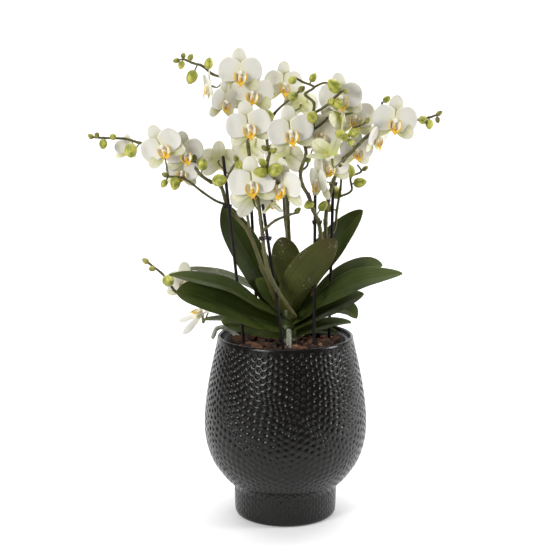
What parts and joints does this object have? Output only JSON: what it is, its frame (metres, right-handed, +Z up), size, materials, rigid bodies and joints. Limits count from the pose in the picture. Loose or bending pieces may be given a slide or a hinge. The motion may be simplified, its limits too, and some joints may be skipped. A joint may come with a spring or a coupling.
{
  "type": "potted orchid",
  "caption": "Potted moth orchid: strap leaves and staked, arching sprays of white blooms and green buds, rooted in bark in a plain plastic pot inside a round, hammered dark ceramic pot.",
  "frame": {"origin": "middle of the flat underside of the ceramic pot's foot", "axes": "+Z up along the pot's axis, -Y towards the front of the plant, +X to the right as seen from the front"},
  "size_m": [0.4155, 0.1992, 0.5701],
  "materials": {
    "ceramic": "satin glaze over a hammered surface",
    "nursery_plastic": "matt moulded polypropylene",
    "stake_plastic": "satin coated stake",
    "clip_plastic": "satin moulded clip",
    "bark": "dry, rough",
    "root": "dull, velvety",
    "leaf": "waxy, half gloss",
    "stem": "waxy, half gloss",
    "petal": "soft matt"
  },
  "bodies": {
    "root": {"pot": "ceramic", "nursery_pot": "nursery_plastic", "stake_1": "stake_plastic", "stake_2": "stake_plastic", "stake_3": "stake_plastic", "stake_4": "stake_plastic", "stake_5": "stake_plastic", "stake_6": "stake_plastic", "crown_front": "leaf", "crown_back": "leaf", "root_front": "root", "root_rim": "root", "spike_low_left": "stem", "spike_left": "stem", "spike_middle": "stem", "spike_back": "stem", "spike_right": "stem", "spike_far_right": "stem", "clip_1": "clip_plastic", "clip_2": "clip_plastic", "clip_3": "clip_plastic", "clip_4": "clip_plastic", "leaf_01": "leaf", "leaf_02": "leaf", "leaf_03": "leaf", "leaf_04": "leaf", "leaf_05": "leaf", "leaf_06": "leaf", "leaf_07": "leaf", "leaf_08": "leaf", "leaf_09": "leaf", "leaf_10": "leaf", "leaf_11": "leaf", "leaf_12": "leaf", "bloom_01": "petal", "bloom_02": "petal", "bloom_03": "petal", "bloom_04": "petal", "bloom_05": "petal", "bloom_06": "petal", "bloom_07": "petal", "bloom_08": "petal", "bloom_09": "petal", "bloom_10": "petal", "bloom_11": "petal", "bloom_12": "petal", "bloom_13": "petal", "bloom_14": "petal", "bloom_15": "petal", "bloom_16": "petal", "bloom_17": "petal", "bloom_18": "petal", "bloom_19": "petal", "bloom_20": "petal", "bloom_21": "petal", "bloom_22": "petal", "bloom_23": "petal", "bloom_24": "petal", "bloom_25": "petal", "bark": "bark"}
  },
  "joints": []
}
